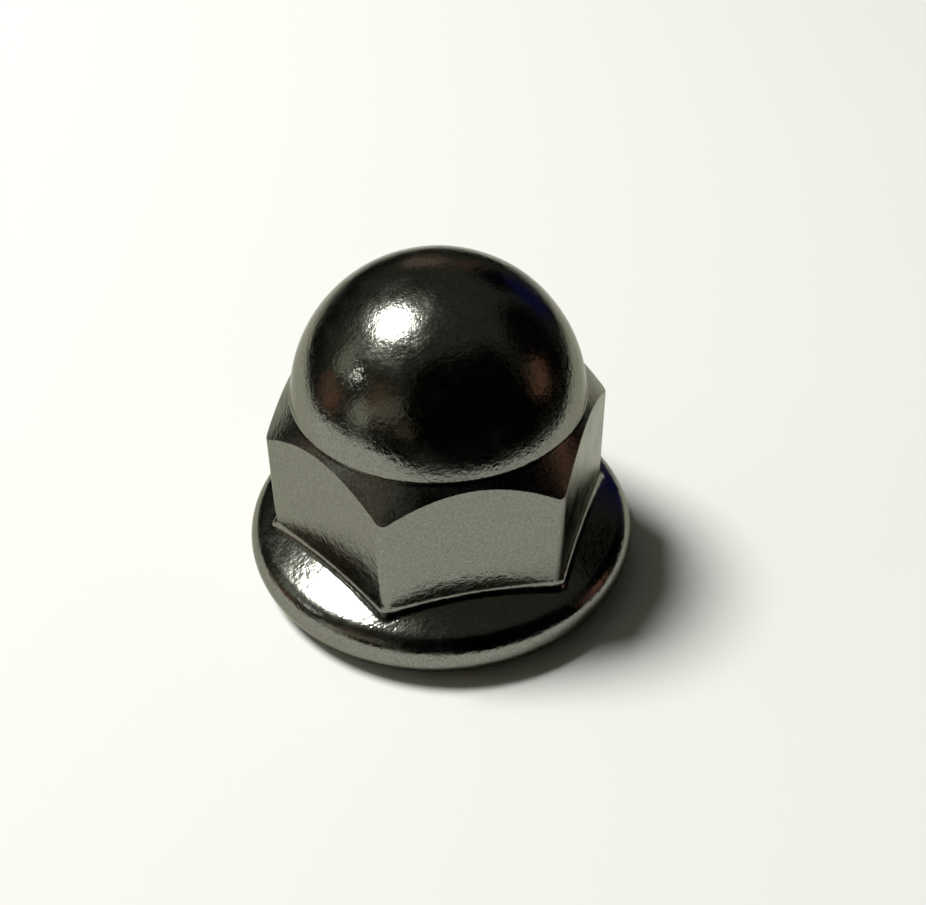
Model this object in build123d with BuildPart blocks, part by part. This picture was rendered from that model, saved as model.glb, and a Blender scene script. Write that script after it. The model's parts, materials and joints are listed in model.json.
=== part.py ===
"""A flanged cap nut, M8 x 1.25: a hexagon, a round flange below it and a closed dome above it.

It is cold-formed from one slug of steel, then drilled and tapped from below, so it is one solid.
Millimetres. +Z points to the dome, and the origin is the centre of the bearing face, which clamps.
"""

import os
from math import cos, radians, sqrt, tan

from build123d import *

# The hexagon, whose flats face +Y and -Y and every 60 degrees from there
across_flats = 13.0
hexagon_corner_radius = 0.5  # the corners that the forming die leaves
shoulder_height = 8.9  # bearing face to the top of a flat, at its middle
shoulder_slope = 52.0  # degrees below level, of the cone that cuts the hexagon's upper corners

# The dome
dome_inset = 0.22  # how far the dome's side stands inside the flats
dome_rise = 6.1  # top of the flats to the crown
dome_root_radius = 0.3  # the hollow between the shoulder and the dome

# The flange
flange_overhang = 1.2  # hexagon's corners to the rim
flange_slope = 23.0  # degrees below level, of its top
rim_height = 1.45  # bearing face to the widest part of the rim, and the radius of the round below it
rim_top_radius = 1.15
flange_root_radius = 0.65  # the hollow between the flange and the hexagon

# The blind thread
thread_diameter = 8.0
thread_pitch = 1.25
countersink_margin = 0.3  # how far the mouth of the countersink stands outside the thread
countersink_angle = 120.0
drill_point_angle = 118.0
crown_thickness = 1.6  # the drill's point to the crown

# Worked out from those
flat_distance = across_flats / 2
corner_reach = (flat_distance - hexagon_corner_radius) / cos(radians(30)) + hexagon_corner_radius
rim_radius = corner_reach + flange_overhang
overall_height = shoulder_height + dome_rise
dome_radius = flat_distance - dome_inset
dome_centre_height = overall_height - dome_radius

# A 60 degree thread's triangle is half the root of 3 times its pitch high, and 5/8 of it is cut
bore_radius = thread_diameter / 2 - 5 / 8 * thread_pitch * sqrt(3) / 2
countersink_radius = thread_diameter / 2 + countersink_margin
countersink_depth = (countersink_radius - bore_radius) / tan(radians(countersink_angle / 2))
drill_point_height = bore_radius / tan(radians(drill_point_angle / 2))
bore_depth = overall_height - crown_thickness - drill_point_height

with BuildPart() as cap_nut:
    # The hexagon's block ends inside the dome, a fifth of the way in along the shoulder's cone
    block_top_radius = 0.8 * flat_distance
    block_top = shoulder_height + (flat_distance - block_top_radius) * tan(radians(shoulder_slope))
    with BuildSketch(Plane.XY.offset(rim_height)):
        RegularPolygon(radius=flat_distance, side_count=6, major_radius=False)
        fillet(vertices(), hexagon_corner_radius)
    extrude(amount=block_top - rim_height)

    # The shoulder: a cone turned off the block's upper corners
    cut_radius = 2 * corner_reach
    cut_foot = block_top - (cut_radius - block_top_radius) * tan(radians(shoulder_slope))
    with BuildSketch(Plane.XZ):
        with BuildLine():
            Polyline((block_top_radius, block_top), (cut_radius, cut_foot), (cut_radius, block_top), close=True)
        make_face()
    revolve(axis=Axis.Z, mode=Mode.SUBTRACT)

    # The dome: half a ball on a short drum that stands in the block
    with BuildSketch(Plane.XZ):
        with BuildLine():
            crown = CenterArc((0, dome_centre_height), dome_radius, 0, 90)
            Polyline(crown @ 1, (0, rim_height), (dome_radius, rim_height), crown @ 0)
        make_face()
    revolve(axis=Axis.Z)
    dome_root = edges().filter_by(GeomType.CIRCLE).filter_by_position(Axis.Z, shoulder_height, block_top)
    fillet(dome_root, dome_root_radius)

    # The flange: a flat face, a rim rounded in two arcs, and a cone that runs in under the hexagon
    with BuildSketch(Plane.XZ):
        with BuildLine():
            rim_below = CenterArc((rim_radius - rim_height, rim_height), rim_height, -90, 90)
            rim_above = CenterArc((rim_radius - rim_top_radius, rim_height), rim_top_radius, 0, 90 - flange_slope)
            foot = rim_above @ 1
            neck_radius = flat_distance / 2
            neck_height = foot.Y + (foot.X - neck_radius) * tan(radians(flange_slope))
            Polyline(foot, (neck_radius, neck_height), (0, neck_height), (0, 0), rim_below @ 0)
        make_face()
    revolve(axis=Axis.Z)
    corner_root_height = foot.Y + (foot.X - corner_reach) * tan(radians(flange_slope))
    flat_root_height = foot.Y + (foot.X - flat_distance) * tan(radians(flange_slope))
    flange_root = edges().filter_by_position(Axis.Z, (foot.Y + corner_root_height) / 2, flat_root_height)
    fillet(flange_root, flange_root_radius)

    # The tapping hole: a countersunk mouth, a straight wall at the thread's crest, and the drill's point
    with BuildSketch(Plane.XZ):
        with BuildLine():
            Polyline(
                (0, 0),
                (countersink_radius, 0),
                (bore_radius, countersink_depth),
                (bore_radius, bore_depth),
                (0, bore_depth + drill_point_height),
                close=True,
            )
        make_face()
    revolve(axis=Axis.Z, mode=Mode.SUBTRACT)

os.makedirs("parts", exist_ok=True)
cap_nut.part.label = "cap_nut"
export_step(cap_nut.part, "parts/cap_nut.step")

print(f"bore radius {bore_radius:.3f}, wall from {countersink_depth:.3f} to {bore_depth:.3f}")
print(f"bearing face from {countersink_radius:.3f} to {rim_radius - rim_height:.3f}")
print(f"flange {2 * rim_radius:.2f} across, {overall_height:.2f} high")
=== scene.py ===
# %% [markdown]
# # A flanged cap nut
#
# This lesson models and lights one M8 cap nut: a hexagon that a spanner turns, a round flange that
# spreads the clamping load, and a closed dome that covers the end of the bolt. The real one is pressed
# from one slug of steel in a few dies, tapped from below, and tumbled until it shines.
#
# The frame comes first. It is the engineering model, loaded at its real size, in metres. Everything
# below takes its size from it, and the modelled nut stands in exactly the same place.

# %% Load the frame
import json
from math import acos, atan, cos, hypot, pi, radians, sin, sqrt, tan

import bpy
from mathutils import Matrix, Vector


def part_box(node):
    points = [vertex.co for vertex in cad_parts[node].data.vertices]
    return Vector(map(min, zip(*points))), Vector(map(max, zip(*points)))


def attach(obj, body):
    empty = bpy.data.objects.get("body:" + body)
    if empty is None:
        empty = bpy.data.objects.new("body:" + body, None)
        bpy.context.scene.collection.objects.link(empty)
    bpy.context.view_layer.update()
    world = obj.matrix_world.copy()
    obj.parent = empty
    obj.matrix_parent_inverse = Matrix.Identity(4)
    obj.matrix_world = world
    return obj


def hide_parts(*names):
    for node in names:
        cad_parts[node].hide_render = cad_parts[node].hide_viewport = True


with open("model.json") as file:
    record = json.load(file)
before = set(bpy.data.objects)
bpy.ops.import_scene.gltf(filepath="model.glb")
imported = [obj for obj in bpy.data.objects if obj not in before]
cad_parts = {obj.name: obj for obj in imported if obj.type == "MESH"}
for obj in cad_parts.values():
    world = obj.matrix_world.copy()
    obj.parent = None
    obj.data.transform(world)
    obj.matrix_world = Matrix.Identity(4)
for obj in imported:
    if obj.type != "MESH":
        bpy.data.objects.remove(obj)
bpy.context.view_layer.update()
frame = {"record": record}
scene = bpy.context.scene
MM = 0.001  # Blender's unit here is the metre

mounts = {mount["name"]: mount for mount in frame["record"]["mounts"]}
rim_radius = (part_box("cap_nut")[1][0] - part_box("cap_nut")[0][0]) / 2
overall_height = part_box("cap_nut")[1][2]
print(f"frame: {2 * rim_radius / MM:.2f} mm across, {overall_height / MM:.2f} mm high")

# %% [markdown]
# ## Two small helpers
#
# Blender builds both shapes and finishes from nodes. Writing a node tree in Python is mostly adding a
# node, setting it up and linking its inputs, so one helper does all three. An input may be a plain
# value, another node or one socket of it. The second helper turns the colours that we write as sRGB
# hex, as a paint chart would give them, into the linear values that the renderer works with.

# %% Helpers for nodes and colours
def add_node(tree, kind, inputs=None, **settings):
    """Add a node, apply its settings, and set or link its inputs."""
    node = tree.nodes.new(kind)
    for name, value in settings.items():
        setattr(node, name, value)
    for key, value in (inputs or {}).items():
        if isinstance(value, bpy.types.Node):
            value = value.outputs[0]
        if isinstance(value, bpy.types.NodeSocket):
            tree.links.new(value, node.inputs[key])
        else:
            node.inputs[key].default_value = value
    return node


def srgb(colour):
    """Linear RGBA from a colour such as '#C8C4BA'."""
    channels = [int(colour[i : i + 2], 16) / 255 for i in (1, 3, 5)]
    return [c / 12.92 if c <= 0.04045 else ((c + 0.055) / 1.055) ** 2.4 for c in channels] + [1.0]


# %% [markdown]
# ## The nut's sizes
#
# The frame gives the outside sizes and the bore. The rest are the shapes that the dies leave: how
# steeply the shoulder falls from the dome to the hexagon's corners, how the flange slopes, and the
# radius of every edge and hollow. No edge on a pressed and tumbled part is sharp, and those small
# rounds are what catches the light, so each one has its own radius here.

# %% Sizes
half_flats = 6.5 * MM
corner_radius = 0.5 * MM
shoulder_height = 8.9 * MM  # where the shoulder's cone meets the middle of a flat
shoulder_fall = tan(radians(52))  # how far the shoulder drops for each step outwards
shoulder_edge_radius = 0.16 * MM
dome_inset = 0.22 * MM  # how far the dome stands in from the flats
dome_radius = half_flats - dome_inset
dome_centre = overall_height - dome_radius
dome_root_radius = 0.3 * MM
rim_height = 1.45 * MM
rim_top_radius = 1.15 * MM
flange_slope = radians(23)
corner_root_radius = 0.65 * MM  # the hollow at the foot of a corner
flat_root_radius = 0.4 * MM  # and at the foot of a flat's middle

bore_radius = mounts["thread"]["dims"]["r_mm"] * MM
bore_depth = 11.403 * MM  # to where the full width ends
drill_point = bore_radius / tan(radians(118 / 2))  # a drill's tip has an angle of 118 degrees
thread_pitch = 1.25 * MM
thread_depth = 5 / 8 * thread_pitch * sqrt(3) / 2  # the metric thread's own proportion
mouth_margin = 0.3 * MM  # how far the countersink reaches past the thread
mouth_radius = bore_radius + thread_depth + mouth_margin
mouth_fall = tan(radians(120 / 2))

# The dome meets the shoulder where a point of its arc lies on the cone
line = (shoulder_height + half_flats * shoulder_fall - dome_centre) / dome_radius
dome_angle = atan(shoulder_fall) + acos(line / hypot(1, shoulder_fall))

# The flange's cone, carried out to the rim's radius: the corner that the rim's upper round cuts off
rim_corner = rim_height + rim_top_radius * (1 - sin(flange_slope)) / cos(flange_slope)
print(f"dome ends {90 - dome_angle * 180 / pi:.1f} degrees above level")
print(f"thread {thread_depth / MM:.3f} mm deep")

# %% [markdown]
# ## The nut as a rule
#
# The shape follows a rule, so Geometry Nodes can build it. Seen from above, the hexagon is a curve with
# rounded corners. Cut the nut along any line from its axis and the section is always the same list
# of corners: dome, shoulder, flat, flange, rim, bearing face. Only the flat's distance changes, and it
# is the distance from the axis to that curve.
#
# So the tree places one section on every point of the hexagon's curve, moves its corners by the
# rule, and lets Fillet Curve round each of them with its own radius. A grid is then laid over all the
# sections like a skin. Booleans and bevels could make the same nut, but not with even, controllable
# rounds, and a mirror finish shows every uneven one.

# %% The tree and its named inputs
tree = bpy.data.node_groups.new("Cap nut", "GeometryNodeTree")
tree.interface.new_socket("Geometry", in_out="INPUT", socket_type="NodeSocketGeometry")
tree.interface.new_socket("Geometry", in_out="OUTPUT", socket_type="NodeSocketGeometry")
sizes = {
    "Half across flats": half_flats,
    "Corner radius": corner_radius,
    "Shoulder height": shoulder_height,
    "Shoulder fall": shoulder_fall,
    "Shoulder edge radius": shoulder_edge_radius,
    "Dome radius": dome_radius,
    "Dome centre": dome_centre,
    "Dome angle": dome_angle,
    "Dome root radius": dome_root_radius,
    "Rim radius": rim_radius,
    "Rim height": rim_height,
    "Rim corner": rim_corner,
    "Rim top radius": rim_top_radius,
    "Flange rise": tan(flange_slope),
    "Corner root radius": corner_root_radius,
    "Flat root radius": flat_root_radius,
    "Mouth radius": mouth_radius,
    "Mouth fall": mouth_fall,
    "Bore radius": bore_radius,
    "Bore depth": bore_depth,
    "Drill point": drill_point,
    "Thread depth": thread_depth,
    "Thread pitch": thread_pitch,
}
counts = {
    "Steps along a flat": 24,
    "Steps round a corner": 8,
    "Steps over the dome": 48,
    "Rows in a turn": 16,
}
for name, value in sizes.items():
    tree.interface.new_socket(name, in_out="INPUT", socket_type="NodeSocketFloat")
for name, value in counts.items():
    tree.interface.new_socket(name, in_out="INPUT", socket_type="NodeSocketInt")
tree.interface.new_socket("Finish", in_out="INPUT", socket_type="NodeSocketMaterial")
given = add_node(tree, "NodeGroupInput").outputs
position = add_node(tree, "GeometryNodeInputPosition")
index = add_node(tree, "GeometryNodeInputIndex")

# %% [markdown]
# ## The hexagon seen from above
#
# A circle with six points is a hexagon. Each side is divided first, so that the sections stand close
# enough together for the round dome, and only the six true corners are then given a radius.

# %% The hexagon's curve
corner_distance = add_node(
    tree, "ShaderNodeMath", {0: given["Half across flats"], 1: cos(radians(30))}, operation="DIVIDE"
)
hexagon = add_node(tree, "GeometryNodeCurvePrimitiveCircle", {"Resolution": 6, "Radius": corner_distance})
cuts = add_node(tree, "FunctionNodeIntegerMath", {0: given["Steps along a flat"], 1: 1}, operation="SUBTRACT")
divided = add_node(tree, "GeometryNodeSubdivideCurve", {"Curve": hexagon, "Cuts": cuts})
along_flat = add_node(
    tree, "FunctionNodeIntegerMath", {0: index, 1: given["Steps along a flat"]}, operation="MODULO"
)
is_corner = add_node(tree, "ShaderNodeMath", {0: along_flat, 1: 0.0, 2: 0.5}, operation="COMPARE")
round_here = add_node(tree, "ShaderNodeMath", {0: is_corner, 1: given["Corner radius"]}, operation="MULTIPLY")
outline = add_node(tree, "GeometryNodeFilletCurve", {"Curve": divided, "Radius": round_here}, mode="POLY")
tree.links.new(given["Steps round a corner"], outline.inputs["Count"])
posts = add_node(tree, "GeometryNodeCurveToPoints", {"Curve": outline}, mode="EVALUATED")
columns = add_node(tree, "GeometryNodeAttributeDomainSize", {"Geometry": posts}, component="POINTCLOUD")

# %% [markdown]
# ## The section's corners
#
# One section is a curve whose first points run down the dome's arc. After them come its corners, and
# an Index Switch is a small table that gives each one its distance from the axis, its height, its
# radius and how many steps that round takes.

# %% The sections
section_length = add_node(
    tree, "FunctionNodeIntegerMath", {0: given["Steps over the dome"], 1: 6}, operation="ADD"
)
blank = add_node(tree, "GeometryNodeCurvePrimitiveLine")
blank = add_node(tree, "GeometryNodeResampleCurve", {"Curve": blank, "Count": section_length})
fan = add_node(tree, "GeometryNodeInstanceOnPoints", {"Points": posts, "Instance": blank})
fan = add_node(tree, "GeometryNodeRealizeInstances", {"Geometry": fan})

column = add_node(tree, "FunctionNodeIntegerMath", {0: index, 1: section_length}, operation="DIVIDE_FLOOR")
step = add_node(tree, "FunctionNodeIntegerMath", {0: index, 1: section_length}, operation="MODULO")
post = add_node(
    tree,
    "GeometryNodeSampleIndex",
    {"Geometry": posts, "Index": column},
    data_type="FLOAT_VECTOR",
)
tree.links.new(position.outputs[0], post.inputs["Value"])
reach = add_node(tree, "ShaderNodeVectorMath", {0: post}, operation="LENGTH").outputs["Value"]
outwards = add_node(tree, "ShaderNodeVectorMath", {0: post}, operation="NORMALIZE")

angle_step = add_node(
    tree, "ShaderNodeMath", {0: given["Dome angle"], 1: given["Steps over the dome"]}, operation="DIVIDE"
)
angle = add_node(tree, "ShaderNodeMath", {0: step, 1: angle_step}, operation="MULTIPLY")
angle_sine = add_node(tree, "ShaderNodeMath", {0: angle}, operation="SINE")
angle_cosine = add_node(tree, "ShaderNodeMath", {0: angle}, operation="COSINE")
arc_distance = add_node(
    tree, "ShaderNodeMath", {0: angle_sine, 1: given["Dome radius"]}, operation="MULTIPLY"
)
arc_height = add_node(
    tree,
    "ShaderNodeMath",
    {0: angle_cosine, 1: given["Dome radius"], 2: given["Dome centre"]},
    operation="MULTIPLY_ADD",
)
past_flat = add_node(tree, "ShaderNodeMath", {0: given["Half across flats"], 1: reach}, operation="SUBTRACT")
edge_height = add_node(
    tree,
    "ShaderNodeMath",
    {0: past_flat, 1: given["Shoulder fall"], 2: given["Shoulder height"]},
    operation="MULTIPLY_ADD",
)
inside_rim = add_node(tree, "ShaderNodeMath", {0: given["Rim radius"], 1: reach}, operation="SUBTRACT")
root_height = add_node(
    tree,
    "ShaderNodeMath",
    {0: inside_rim, 1: given["Flange rise"], 2: given["Rim corner"]},
    operation="MULTIPLY_ADD",
)
root_radius = add_node(
    tree,
    "ShaderNodeMapRange",
    {
        "Value": reach,
        "From Min": given["Half across flats"],
        "From Max": corner_distance,
        "To Min": given["Flat root radius"],
        "To Max": given["Corner root radius"],
    },
)
past_arc = add_node(
    tree, "FunctionNodeIntegerMath", {0: step, 1: given["Steps over the dome"]}, operation="SUBTRACT"
)
past_arc = add_node(tree, "FunctionNodeIntegerMath", {0: past_arc, 1: 1}, operation="ADD")
corner = add_node(tree, "FunctionNodeIntegerMath", {0: past_arc, 1: 0}, operation="MAXIMUM")

# For each corner: distance from the axis, height, radius of its round, and that round's steps
section = [
    (arc_distance, arc_height, 0.0, 1),  # a point of the dome's arc
    (arc_distance, arc_height, given["Dome root radius"], 5),  # its end, on the shoulder
    (reach, edge_height, given["Shoulder edge radius"], 6),  # top of a flat
    (reach, root_height, root_radius, 12),  # foot of a flat
    (given["Rim radius"], given["Rim corner"], given["Rim top radius"], 12),
    (given["Rim radius"], 0.0, given["Rim height"], 16),
    (given["Mouth radius"], 0.0, 0.0, 1),  # mouth of the countersink
]
tables = []
for quantity, kind in enumerate(("FLOAT", "FLOAT", "FLOAT", "INT")):
    table = add_node(tree, "GeometryNodeIndexSwitch", {"Index": corner}, data_type=kind)
    while len(table.index_switch_items) < len(section):
        table.index_switch_items.new()
    for row, entry in enumerate(section):
        value = entry[quantity]
        if isinstance(value, bpy.types.Node):
            value = value.outputs[0]
        if isinstance(value, bpy.types.NodeSocket):
            tree.links.new(value, table.inputs[row + 1])
        else:
            table.inputs[row + 1].default_value = value
    tables.append(table)
distance, height, rounding, rounding_steps = tables

sideways = add_node(tree, "ShaderNodeVectorMath", {0: outwards}, operation="SCALE")
tree.links.new(distance.outputs[0], sideways.inputs["Scale"])
upwards = add_node(tree, "ShaderNodeCombineXYZ", {"Z": height})
place = add_node(tree, "ShaderNodeVectorMath", {0: sideways, 1: upwards}, operation="ADD")
fan = add_node(tree, "GeometryNodeSetPosition", {"Geometry": fan, "Position": place})
fan = add_node(tree, "GeometryNodeFilletCurve", {"Curve": fan, "Radius": rounding}, mode="POLY")
tree.links.new(rounding_steps.outputs[0], fan.inputs["Count"])

# %% [markdown]
# ## A skin over the sections
#
# All sections now have equally many points. A grid with one column for each section takes its
# vertices' places from them by number. One column more closes the ring, because its numbers wrap
# round to the first section again, and merging then welds the seam and the crown.

# %% The skin
fan_size = add_node(tree, "GeometryNodeAttributeDomainSize", {"Geometry": fan}, component="CURVE").outputs
rows = add_node(
    tree,
    "FunctionNodeIntegerMath",
    {0: fan_size["Point Count"], 1: fan_size["Spline Count"]},
    operation="DIVIDE",
)
ring = add_node(tree, "FunctionNodeIntegerMath", {0: columns.outputs["Point Count"], 1: 1}, operation="ADD")
skin = add_node(tree, "GeometryNodeMeshGrid", {"Vertices X": ring, "Vertices Y": rows})
wrapped = add_node(
    tree, "FunctionNodeIntegerMath", {0: index, 1: fan_size["Point Count"]}, operation="MODULO"
)
laid = add_node(
    tree, "GeometryNodeSampleIndex", {"Geometry": fan, "Index": wrapped}, data_type="FLOAT_VECTOR"
)
tree.links.new(position.outputs[0], laid.inputs["Value"])
skin = add_node(tree, "GeometryNodeSetPosition", {"Geometry": skin, "Position": laid})

# %% [markdown]
# ## The thread
#
# An M8 thread climbs 1.25 mm in each turn. If the grid's rows were level, the thread's sharp edges would
# cut across them in steps. So these rows climb with the thread: each one is a helix, and the
# thread's own section, a 60 degree groove with a flat crest and root, depends on the row alone. Rows that
# would run past the mouth or past the end of the bore are held there, and merging removes them.
# The tap can't cut full depth to the end, so the groove fades out over its last turns.

# %% The thread's rows
turn_height = add_node(
    tree, "ShaderNodeMath", {0: given["Bore depth"], 1: given["Thread pitch"]}, operation="ADD"
)
row_height = add_node(
    tree, "ShaderNodeMath", {0: given["Thread pitch"], 1: given["Rows in a turn"]}, operation="DIVIDE"
)
thread_rows = add_node(tree, "ShaderNodeMath", {0: turn_height, 1: row_height}, operation="DIVIDE")
thread_rows = add_node(tree, "ShaderNodeMath", {0: thread_rows}, operation="CEIL")
thread_rows = add_node(tree, "FunctionNodeIntegerMath", {0: thread_rows, 1: 2}, operation="ADD")
bore = add_node(tree, "GeometryNodeMeshGrid", {"Vertices X": ring, "Vertices Y": thread_rows})
bore_column = add_node(tree, "FunctionNodeIntegerMath", {0: index, 1: thread_rows}, operation="DIVIDE_FLOOR")
bore_row = add_node(tree, "FunctionNodeIntegerMath", {0: index, 1: thread_rows}, operation="MODULO")
post_number = add_node(
    tree, "FunctionNodeIntegerMath", {0: bore_column, 1: columns.outputs["Point Count"]}, operation="MODULO"
)
bore_post = add_node(
    tree, "GeometryNodeSampleIndex", {"Geometry": posts, "Index": post_number}, data_type="FLOAT_VECTOR"
)
tree.links.new(position.outputs[0], bore_post.inputs["Value"])
bore_outwards = add_node(tree, "ShaderNodeVectorMath", {0: bore_post}, operation="NORMALIZE")

# The share of a turn from the first post to this one, and 1 for the column that closes the ring
first_post = add_node(
    tree, "GeometryNodeSampleIndex", {"Geometry": posts, "Index": 0}, data_type="FLOAT_VECTOR"
)
tree.links.new(position.outputs[0], first_post.inputs["Value"])
bearings = []
for node in (bore_post, first_post):
    part = add_node(tree, "ShaderNodeSeparateXYZ", {0: node}).outputs
    bearings.append(add_node(tree, "ShaderNodeMath", {0: part["Y"], 1: part["X"]}, operation="ARCTAN2"))
turned = add_node(tree, "ShaderNodeMath", {0: bearings[0], 1: bearings[1]}, operation="SUBTRACT")
turned = add_node(tree, "ShaderNodeMath", {0: turned, 1: 2 * pi}, operation="DIVIDE")
turned = add_node(tree, "ShaderNodeMath", {0: turned, 1: 1.0, 2: 0.0}, operation="WRAP")
closing = add_node(
    tree, "ShaderNodeMath", {0: bore_column, 1: columns.outputs["Point Count"], 2: 0.5}, operation="COMPARE"
)
turned = add_node(tree, "ShaderNodeMath", {0: turned, 1: closing}, operation="MAXIMUM")

# Each row's height: it starts one turn below the mouth and climbs a pitch in a turn
turns_up = add_node(tree, "ShaderNodeMath", {0: bore_row, 1: given["Rows in a turn"]}, operation="DIVIDE")
turns_here = add_node(tree, "ShaderNodeMath", {0: turns_up, 1: turned}, operation="ADD")
turns_here = add_node(tree, "ShaderNodeMath", {0: turns_here, 1: 1.0}, operation="SUBTRACT")
free_height = add_node(
    tree, "ShaderNodeMath", {0: turns_here, 1: given["Thread pitch"]}, operation="MULTIPLY"
)
held_below = add_node(tree, "ShaderNodeMath", {0: free_height, 1: 0.0}, operation="MAXIMUM")
row_place = add_node(
    tree, "ShaderNodeMath", {0: held_below, 1: given["Bore depth"]}, operation="MINIMUM"
)

# The groove's depth: 0 over the crest's quarter of a pitch, 1 over the root's eighth, flanks between
to_crest = add_node(tree, "ShaderNodeMath", {0: turns_up, 1: 0.5}, operation="PINGPONG")
groove = add_node(
    tree, "ShaderNodeMapRange", {"Value": to_crest, "From Min": 1 / 8, "From Max": 7 / 16}
)
fade_end = add_node(
    tree, "ShaderNodeMath", {0: given["Bore depth"], 1: given["Thread pitch"]}, operation="SUBTRACT"
)
fade_start = add_node(
    tree, "ShaderNodeMath", {0: given["Thread pitch"], 1: -2.0, 2: fade_end}, operation="MULTIPLY_ADD"
)
fade = add_node(
    tree,
    "ShaderNodeMapRange",
    {"Value": row_place, "From Min": fade_start, "From Max": fade_end, "To Min": 1.0, "To Max": 0.0},
)
groove = add_node(tree, "ShaderNodeMath", {0: groove, 1: fade}, operation="MULTIPLY")
threaded = add_node(
    tree,
    "ShaderNodeMath",
    {0: groove, 1: given["Thread depth"], 2: given["Bore radius"]},
    operation="MULTIPLY_ADD",
)
sunk = add_node(tree, "ShaderNodeMath", {0: row_place, 1: given["Mouth fall"]}, operation="MULTIPLY")
sunk = add_node(tree, "ShaderNodeMath", {0: given["Mouth radius"], 1: sunk}, operation="SUBTRACT")
wall = add_node(tree, "ShaderNodeMath", {0: threaded, 1: sunk}, operation="MAXIMUM")

# The last row is the point that the drill left
last_row = add_node(tree, "FunctionNodeIntegerMath", {0: thread_rows, 1: 1}, operation="SUBTRACT")
below_tip = add_node(tree, "ShaderNodeMath", {0: bore_row, 1: last_row}, operation="LESS_THAN")
at_tip = add_node(tree, "ShaderNodeMath", {0: 1.0, 1: below_tip}, operation="SUBTRACT")
wall = add_node(tree, "ShaderNodeMath", {0: wall, 1: below_tip}, operation="MULTIPLY")
row_place = add_node(
    tree, "ShaderNodeMath", {0: at_tip, 1: given["Drill point"], 2: row_place}, operation="MULTIPLY_ADD"
)
sideways = add_node(tree, "ShaderNodeVectorMath", {0: bore_outwards}, operation="SCALE")
tree.links.new(wall.outputs[0], sideways.inputs["Scale"])
upwards = add_node(tree, "ShaderNodeCombineXYZ", {"Z": row_place})
place = add_node(tree, "ShaderNodeVectorMath", {0: sideways, 1: upwards}, operation="ADD")
bore = add_node(tree, "GeometryNodeSetPosition", {"Geometry": bore, "Position": place})

# %% [markdown]
# ## One closed solid
#
# The skin ends at the countersink's mouth and the bore starts there, so joining and merging them gives
# one closed body, like the real nut. It is smooth everywhere except where faces meet at a real edge,
# at the thread, the mouth and the drill's point. The tree has to end in plain mesh, because what
# reads it later doesn't know instances.

# %% Join, weld and shade
joined = add_node(tree, "GeometryNodeJoinGeometry")
for shape in (bore, skin):
    tree.links.new(shape.outputs[0], joined.inputs[0])
welded = add_node(tree, "GeometryNodeMergeByDistance", {"Geometry": joined, "Distance": 0.001 * MM})
solid = add_node(tree, "GeometryNodeFlipFaces", {"Mesh": welded})
smooth = add_node(tree, "GeometryNodeSetShadeSmooth", {"Geometry": solid, "Shade Smooth": True})
bend = add_node(tree, "GeometryNodeInputMeshEdgeAngle")
is_edge = add_node(tree, "ShaderNodeMath", {0: bend.outputs[0], 1: radians(20)}, operation="GREATER_THAN")
smooth = add_node(
    tree,
    "GeometryNodeSetShadeSmooth",
    {"Geometry": smooth, "Selection": is_edge, "Shade Smooth": False},
    domain="EDGE",
)
real = add_node(tree, "GeometryNodeRealizeInstances", {"Geometry": smooth})
finished = add_node(tree, "GeometryNodeSetMaterial", {"Geometry": real, "Material": given["Finish"]})
add_node(tree, "NodeGroupOutput", {"Geometry": finished})
print(f"tree: {len(tree.nodes)} nodes")

# %% [markdown]
# ## Polished steel
#
# The real surface is stainless steel, pressed in polished dies and tumbled with small stones. Metal has
# no colour of its own beyond its reflection, so nearly all of its look is in how the surface bends
# that reflection. Pressing leaves a soft ripple like orange peel, a few tenths of a millimetre from
# crest to crest. Tumbling leaves shallow dings and fine hairlines that sparkle around a highlight. The
# shoulder is turned, not pressed, so its gloss is a little duller.

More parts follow.
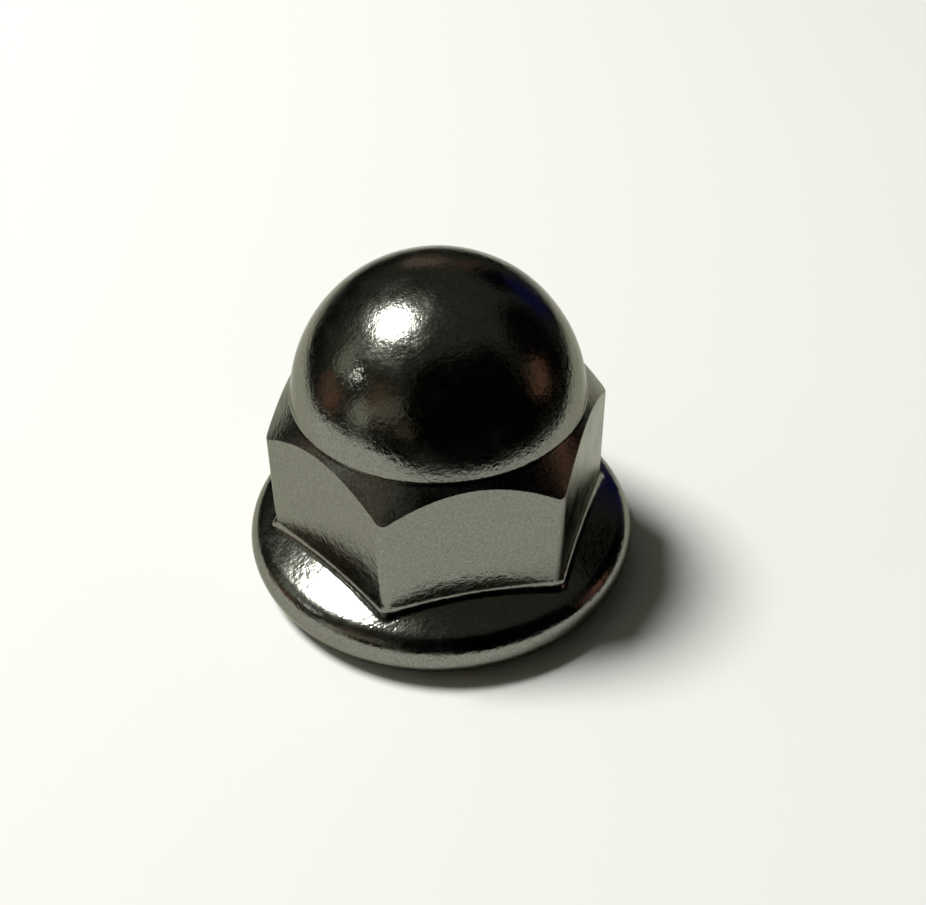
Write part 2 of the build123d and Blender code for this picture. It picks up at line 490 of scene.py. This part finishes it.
# %% The finish
def polished_steel():
    """Tumble-polished stainless steel: a dim mirror with ripple, hairlines, dings and a fine grain."""
    material = bpy.data.materials.new("polished_stainless_steel")
    material.use_nodes = True
    nodes = material.node_tree
    nodes.nodes.clear()
    place = add_node(nodes, "ShaderNodeTexCoord").outputs["Object"]

    # Ripple: long waves from the dies, and the close dimpling that the tumbling stones leave
    ripples = ((0.9, 0.014, 2.0), (0.24, 0.0115, 2.0), (0.115, 0.0068, 3.0))  # width and depth in mm, detail
    normal = None
    for width, depth, detail in ripples:
        ripple = add_node(
            nodes, "ShaderNodeTexNoise", {"Vector": place, "Scale": 1 / (width * MM), "Detail": detail}
        )
        bump = add_node(nodes, "ShaderNodeBump", {"Height": ripple.outputs["Fac"], "Distance": depth * MM})
        if normal:
            nodes.links.new(normal.outputs[0], bump.inputs["Normal"])
        normal = bump

    # Hairlines: long thin noise, of which only the crests are kept, in three directions
    hairlines = (((0, 0, 11), 2.2, 0.05), ((8, 0, 70), 1.5, 0.045), ((60, 20, 130), 1.1, 0.04))
    hairline_depth = 0.0008 * MM
    for turn, length, width in hairlines:
        turned = add_node(
            nodes, "ShaderNodeMapping", {"Vector": place, "Rotation": [radians(angle) for angle in turn]}
        )
        stretched = add_node(
            nodes,
            "ShaderNodeMapping",
            {"Vector": turned, "Scale": (1 / (width * MM), 1 / (length * MM), 1 / (0.5 * MM))},
        )
        streak = add_node(nodes, "ShaderNodeTexNoise", {"Vector": stretched, "Scale": 1.0, "Detail": 1.0})
        crest = add_node(
            nodes,
            "ShaderNodeMapRange",
            {
                "Value": streak.outputs["Fac"],
                "From Min": 0.62,
                "From Max": 0.74,
                "To Min": 1.0,
                "To Max": 0.0,
            },
        )
        normal = add_node(
            nodes, "ShaderNodeBump", {"Height": crest, "Distance": hairline_depth, "Normal": normal}
        )

    # Dings: some cells hold a round dent where another nut or a stone struck it
    ding_depth = 0.006 * MM
    cells = add_node(
        nodes, "ShaderNodeTexVoronoi", {"Vector": place, "Scale": 1 / (0.55 * MM), "Randomness": 1.0}
    )
    chosen = add_node(nodes, "ShaderNodeMath", {0: cells.outputs["Color"], 1: 0.62}, operation="GREATER_THAN")
    dent = add_node(
        nodes,
        "ShaderNodeMapRange",
        {
            "Value": cells.outputs["Distance"],
            "From Min": 0.02,
            "From Max": 0.17,
            "To Min": -1.0,
            "To Max": 0.0,
        },
        interpolation_type="SMOOTHSTEP",
    )
    dent = add_node(nodes, "ShaderNodeMath", {0: dent, 1: chosen}, operation="MULTIPLY")
    normal = add_node(nodes, "ShaderNodeBump", {"Height": dent, "Distance": ding_depth, "Normal": normal})

    # A fine grain lies over everything, and the polish is uneven: patches of it are a little duller
    grain = add_node(
        nodes,
        "ShaderNodeTexNoise",
        {"Vector": place, "Scale": 1 / (0.11 * MM), "Detail": 4.0, "Roughness": 0.8},
    )
    grain = add_node(
        nodes, "ShaderNodeMapRange", {"Value": grain.outputs["Fac"], "From Min": 0.32, "From Max": 0.68}
    ).outputs["Result"]
    wear = add_node(
        nodes,
        "ShaderNodeTexNoise",
        {"Vector": place, "Scale": 1 / (1.6 * MM), "Detail": 5.0, "Roughness": 0.65},
    )
    roughness = add_node(
        nodes,
        "ShaderNodeMapRange",
        {"Value": wear.outputs["Fac"], "From Min": 0.35, "From Max": 0.68, "To Min": 0.06, "To Max": 0.2},
    )
    roughness = add_node(
        nodes, "ShaderNodeMath", {0: grain, 1: 0.07, 2: roughness}, operation="MULTIPLY_ADD"
    )

    # The turned shoulder is duller. It is the slanting part of the surface in a band below the dome.
    band_middle = shoulder_height - 0.9 * MM
    band_reach = 1.1 * MM
    height = add_node(nodes, "ShaderNodeSeparateXYZ", {0: place}).outputs["Z"]
    on_shoulder = add_node(
        nodes,
        "ShaderNodeMath",
        {0: height, 1: band_middle, 2: band_reach},
        operation="COMPARE",
    )
    slant = add_node(nodes, "ShaderNodeTexCoord").outputs["Normal"]
    slant = add_node(nodes, "ShaderNodeSeparateXYZ", {0: slant}).outputs["Z"]
    slant = add_node(nodes, "ShaderNodeMath", {0: slant, 1: 0.3}, operation="GREATER_THAN")
    on_shoulder = add_node(nodes, "ShaderNodeMath", {0: on_shoulder, 1: slant}, operation="MULTIPLY")
    roughness = add_node(
        nodes, "ShaderNodeMath", {0: on_shoulder, 1: 0.1, 2: roughness}, operation="MULTIPLY_ADD"
    )
    colour = add_node(
        nodes,
        "ShaderNodeMix",
        {"Factor": grain, "A": srgb("#686862"), "B": srgb("#929288")},
        data_type="RGBA",
    )
    gloss = add_node(
        nodes,
        "ShaderNodeBsdfPrincipled",
        {
            "Base Color": colour.outputs["Result"],
            "Metallic": 1.0,
            "Roughness": roughness,
            "Specular Tint": srgb("#CCCCC2"),
            "Normal": normal,
        },
    )
    add_node(nodes, "ShaderNodeOutputMaterial", {"Surface": gloss})
    return material


finish = polished_steel()

# %% [markdown]
# ## Build the nut
#
# The modifier's inputs are set by their identifiers before the object is first evaluated. The result is
# then turned into a plain mesh. Weighted Normal gives each vertex the direction of the largest face
# that it belongs to, so a flat stays as flat as a mirror right up to its rounded edges.

# %% Build the nut and give it its place in the frame
blank = bpy.data.objects.new("cap_nut_blank", bpy.data.meshes.new("cap_nut_blank"))
scene.collection.objects.link(blank)
builder = blank.modifiers.new("Cap nut", "NODES")
builder.node_group = tree
identifiers = {
    item.name: item.identifier for item in tree.interface.items_tree if item.in_out == "INPUT"
}
for name, value in {**sizes, **counts, "Finish": finish}.items():
    builder[identifiers[name]] = value
weighting = blank.modifiers.new("Flat faces stay flat", "WEIGHTED_NORMAL")
weighting.mode = "FACE_AREA"
weighting.weight = 50
weighting.keep_sharp = True
evaluated = blank.evaluated_get(bpy.context.evaluated_depsgraph_get())
nut = bpy.data.objects.new("cap_nut_body", bpy.data.meshes.new_from_object(evaluated))
nut.data.name = "cap_nut_body"
scene.collection.objects.link(nut)
bpy.data.objects.remove(blank)
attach(nut, "root")
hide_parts("cap_nut")
print(f"nut: {len(nut.data.polygons)} faces")

# %% [markdown]
# ## The floor
#
# The nut stands on a sheet of pale card. Polished metal shows whatever is around it, so the card matters
# as much as the lamp: the flats and the foot of the dome get their brightness from it. Where the card
# ends, the bright band round the dome ends too, so a sheet that reaches further to the left than to the
# front gives a band that is wider at the left.

# %% The floor
camera_side = radians(-11.33)  # from straight in front of a flat
toward_camera = Vector((sin(camera_side), -cos(camera_side), 0))


def matt_card(colour):
    """Uncoated card: a plain colour with no gloss to speak of."""
    material = bpy.data.materials.new("matt_card")
    material.use_nodes = True
    surface = material.node_tree.nodes["Principled BSDF"]
    surface.inputs["Base Color"].default_value = srgb(colour)
    surface.inputs["Roughness"].default_value = 0.95
    surface.inputs["Specular IOR Level"].default_value = 0.1
    return material


# How far the card reaches from the nut, in millimetres, by bearing in degrees
card_reach = {
    2: 36, 25: 60, 50: 80, 79: 84, 110: 82, 138: 62, 160: 43, 182: 52,
    205: 64, 224: 50, 240: 32, 258: 26.5, 285: 27, 310: 27.5, 330: 27, 345: 29,
}  # fmt: skip
card_points = [
    (reach * MM * cos(radians(bearing)), reach * MM * sin(radians(bearing)), 0)
    for bearing, reach in card_reach.items()
]
card_mesh = bpy.data.meshes.new("floor")
card_mesh.from_pydata(card_points, [], [list(range(len(card_points)))])
card_mesh.materials.append(matt_card("#F4F4EE"))
floor = bpy.data.objects.new("floor", card_mesh)
scene.collection.objects.link(floor)

# %% [markdown]
# ## Light
#
# One round softbox stands behind the nut's left shoulder, high up. Its mirror image is the bright spot on
# the dome, and a small lamp lower down gives the second glint. The room around them stays dim, so that
# the upper half of the nut reads as dark polished metal and the card below gives the bright bands.

# %% The lamps
def aim(thing, place, target):
    """Put a lamp or a camera at a place, with its back axis away from the target."""
    back = (place - target).normalized()
    side = Vector((0, 0, 1)).cross(back).normalized()
    turn = Matrix((side, back.cross(side), back)).transposed().to_4x4()
    thing.matrix_world = Matrix.Translation(place) @ turn


def heading(bearing, elevation):
    """The unit vector of a direction given in degrees."""
    level = cos(radians(elevation))
    return Vector((level * cos(radians(bearing)), level * sin(radians(bearing)), sin(radians(elevation))))


lamp_distance = 400 * MM
middle = Vector((0, 0, overall_height / 2))
for name, bearing, elevation, width, radiance in (
    ("softbox", 150.4, 59.9, 136 * MM, 40.0),  # degrees round and up, width, and brightness of its face
    ("small_lamp", 181.0, 26.0, 22 * MM, 16.0),
):
    lamp = bpy.data.lights.new(name, "AREA")
    lamp.shape = "DISK"
    lamp.size = width
    lamp.energy = radiance * pi * pi * (width / 2) ** 2
    holder = bpy.data.objects.new(name, lamp)
    scene.collection.objects.link(holder)
    aim(holder, middle + lamp_distance * heading(bearing, elevation), middle)

# %% [markdown]
# ## The room in the reflection
#
# A mirror needs something to show. The room is a list of soft patches that depend only on direction: a
# grey ceiling at the back, deep shade on the camera's side, and muted colours along the horizon, where
# a real room has furniture and walls. Noise bends the direction a little, so that no patch is a plain
# round. They light the nut hardly at all, but they break up its black.

# %% The room
world = bpy.data.worlds.new("dim_room")
scene.world = world
world.use_nodes = True
room = world.node_tree
room.nodes.clear()
outlook = add_node(room, "ShaderNodeTexCoord").outputs["Generated"]


def toward(bearing, elevation, start, end):
    """1 where the view is within start degrees of a direction, falling to 0 at end degrees from it."""
    closeness = add_node(
        room, "ShaderNodeVectorMath", {0: outlook, 1: heading(bearing, elevation)}, operation="DOT_PRODUCT"
    )
    return add_node(
        room,
        "ShaderNodeMapRange",
        {
            "Value": closeness.outputs["Value"],
            "From Min": cos(radians(end)),
            "From Max": cos(radians(start)),
        },
        interpolation_type="SMOOTHSTEP",
    )


# What stands round the room: its colour, the way to it, how wide it is and how far its edge fades
furniture = [
    ("#44453F", 50, 62, 58, 66),  # ceiling at the back
    ("#3E3D36", 178, 34, 36, 58),  # wall at the left
    ("#1C1B18", 190, 4, 17, 24),  # and what stands before it
    ("#A2A49A", 150, 60, 12, 30),  # glow round the softbox
    ("#A9AF9E", 163, 25, 8, 11),
    ("#896856", 167, 2, 8, 11),
    ("#C9C9BB", 197, 7, 6, 9),
    ("#A89888", 211, 16, 4, 7),
    ("#7C7B70", 222, 20, 5, 9),
    ("#7A6656", 206, 27, 5, 8),
    ("#5C5548", 233, 6, 5, 9),
    ("#08080A", 10, 24, 18, 27),  # dark doorway at the right
    ("#8E6858", -12, 11, 6, 12),  # brown beside it
    ("#9C8A80", 84, 18, 6, 9),  # browns at the back
    ("#735A50", 64, 20, 5, 8),
    ("#0A0A12", 52, 22, 9, 14),
    ("#202058", 42, 8, 9, 13),  # a blue shade
    ("#08080A", -58, 32, 26, 38),  # deep shade on the camera's side
    ("#030303", -92, 34, 26, 36),
]
seen = add_node(room, "ShaderNodeRGB").outputs[0]
seen.default_value = srgb("#060706")
ragged = add_node(
    room, "ShaderNodeTexNoise", {"Vector": outlook, "Scale": 6.0, "Detail": 5.0, "Roughness": 0.65}
)
ragged = add_node(
    room, "ShaderNodeVectorMath", {0: ragged.outputs["Color"], 1: (0.5, 0.5, 0.5)}, operation="SUBTRACT"
)
outlook = add_node(
    room, "ShaderNodeVectorMath", {0: ragged, 1: (0.4, 0.4, 0.4), 2: outlook}, operation="MULTIPLY_ADD"
)
outlook = add_node(room, "ShaderNodeVectorMath", {0: outlook}, operation="NORMALIZE").outputs[0]
for colour, bearing, elevation, start, end in furniture:
    share = toward(bearing, elevation, start, end)
    seen = add_node(
        room, "ShaderNodeMix", {"Factor": share, "A": seen, "B": srgb(colour)}, data_type="RGBA"
    ).outputs["Result"]
shade = add_node(room, "ShaderNodeBackground", {"Color": seen})
add_node(room, "ShaderNodeOutputWorld", {"Surface": shade})

# %% [markdown]
# ## Camera
#
# The camera looks down at about 40 degrees from a little to the left of the front flat. Its distance
# follows the nut's size.

# %% The camera
camera_height = radians(40.45)
camera_distance = 7.2834 * rim_radius
target = Vector((0, 0, 0.6 * rim_radius))
camera_roll = radians(-1.132)
lens = bpy.data.cameras.new("camera")
lens.sensor_width = 36
lens.lens = 55.48
lens.shift_x = 0.0251
lens.shift_y = 0.0064
lens.clip_start = 1 * MM
camera = bpy.data.objects.new("camera", lens)
scene.collection.objects.link(camera)
sight_line = cos(camera_height) * toward_camera + Vector((0, 0, sin(camera_height)))
aim(camera, target + camera_distance * sight_line, target)
camera.matrix_world = camera.matrix_world @ Matrix.Rotation(camera_roll, 4, "Z")
scene.camera = camera
scene.view_settings.view_transform = "Standard"
